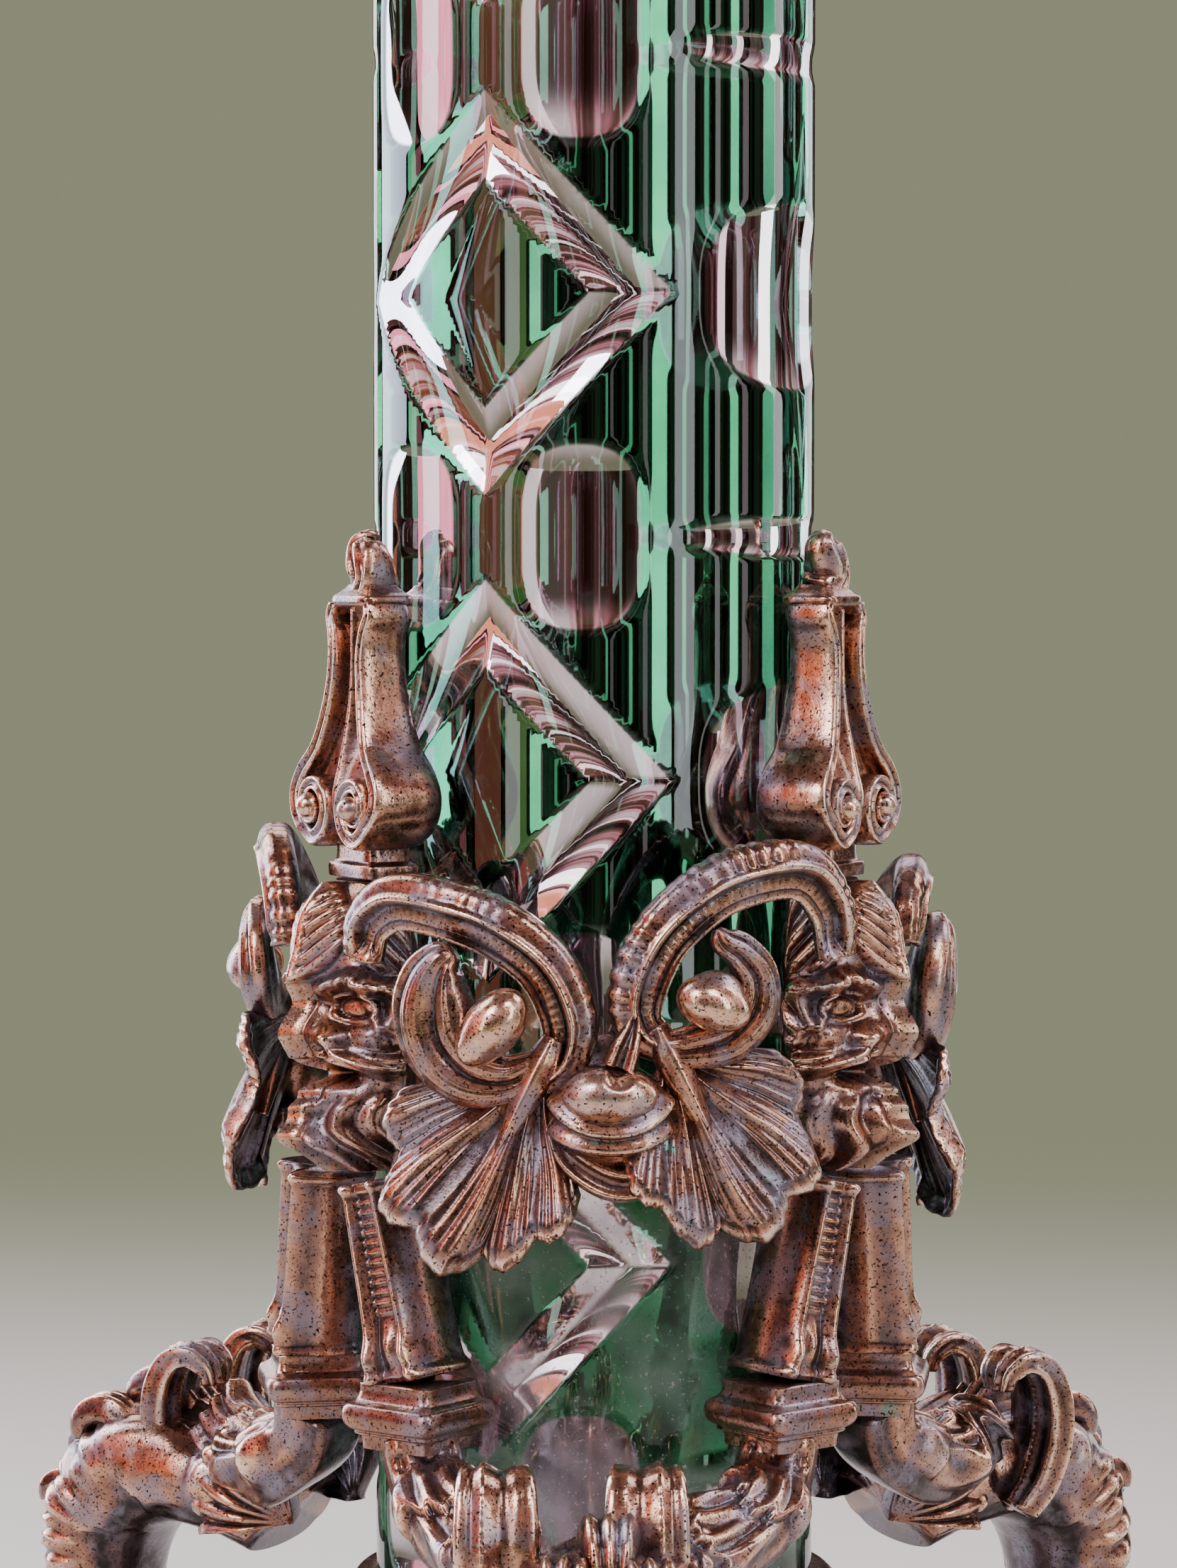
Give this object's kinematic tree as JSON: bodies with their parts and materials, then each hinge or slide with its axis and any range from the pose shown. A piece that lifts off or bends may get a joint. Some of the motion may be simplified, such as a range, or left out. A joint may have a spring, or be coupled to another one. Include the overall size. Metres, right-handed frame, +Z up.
{
  "type": "glass candlestick",
  "caption": "Tall candlestick: a silvered, cut glass column clasped by a cast bronze tripod of masks, horns and scroll legs, with a lift-off drip pan and nozzle.",
  "frame": {"origin": "middle of the bounding box, on the surface that the three feet stand on; the column's axis stands 24.25 mm behind it along +Y", "axes": "+Z up along the glass column, -Y towards the front leg, +X to the right as seen from the front"},
  "size_m": [0.2094, 0.1842, 0.565],
  "materials": {
    "cased_glass": "polished, green cased glass cut through to clear",
    "silvering": "silvered inside of the glass",
    "bronze": "cast and chased copper-brown bronze with dark recesses",
    "iron": "dull turned iron"
  },
  "bodies": {
    "stand": {"glass_shaft": "cased_glass", "silvered_sleeve": "silvering", "tie_rod": "iron", "base_nut": "iron", "top_nut": "iron", "base_cup": "bronze", "top_collar": "bronze", "pan_seat": "bronze", "leg_1": "bronze", "leg_bolt_1": "iron", "foot_1": "bronze", "bud_1": "bronze", "mask_1": "bronze", "finial_1": "bronze", "haunch_1a": "bronze", "horn_1a": "bronze", "scallop_leaf_1a": "bronze", "berry_curl_1a": "bronze", "pilaster_1a": "bronze", "haunch_1b": "bronze", "horn_1b": "bronze", "scallop_leaf_1b": "bronze", "berry_curl_1b": "bronze", "pilaster_1b": "bronze", "leg_2": "bronze", "leg_bolt_2": "iron", "foot_2": "bronze", "bud_2": "bronze", "mask_2": "bronze", "finial_2": "bronze", "haunch_2a": "bronze", "horn_2a": "bronze", "scallop_leaf_2a": "bronze", "berry_curl_2a": "bronze", "pilaster_2a": "bronze", "haunch_2b": "bronze", "horn_2b": "bronze", "scallop_leaf_2b": "bronze", "berry_curl_2b": "bronze", "pilaster_2b": "bronze", "leg_3": "bronze", "leg_bolt_3": "iron", "foot_3": "bronze", "bud_3": "bronze", "mask_3": "bronze", "finial_3": "bronze", "haunch_3a": "bronze", "horn_3a": "bronze", "scallop_leaf_3a": "bronze", "berry_curl_3a": "bronze", "pilaster_3a": "bronze", "haunch_3b": "bronze", "horn_3b": "bronze", "scallop_leaf_3b": "bronze", "berry_curl_3b": "bronze", "pilaster_3b": "bronze"},
    "pan": {"drip_pan": "bronze"},
    "socket": {"nozzle": "bronze"}
  },
  "joints": [
    {"name": "pan_lift", "type": "slide", "parent": "stand", "child": "pan", "axis": [0, 0, 1], "range_m": [0, 0.04]},
    {"name": "nozzle_lift", "type": "slide", "parent": "pan", "child": "socket", "axis": [0, 0, 1], "range_m": [0, 0.04]}
  ]
}
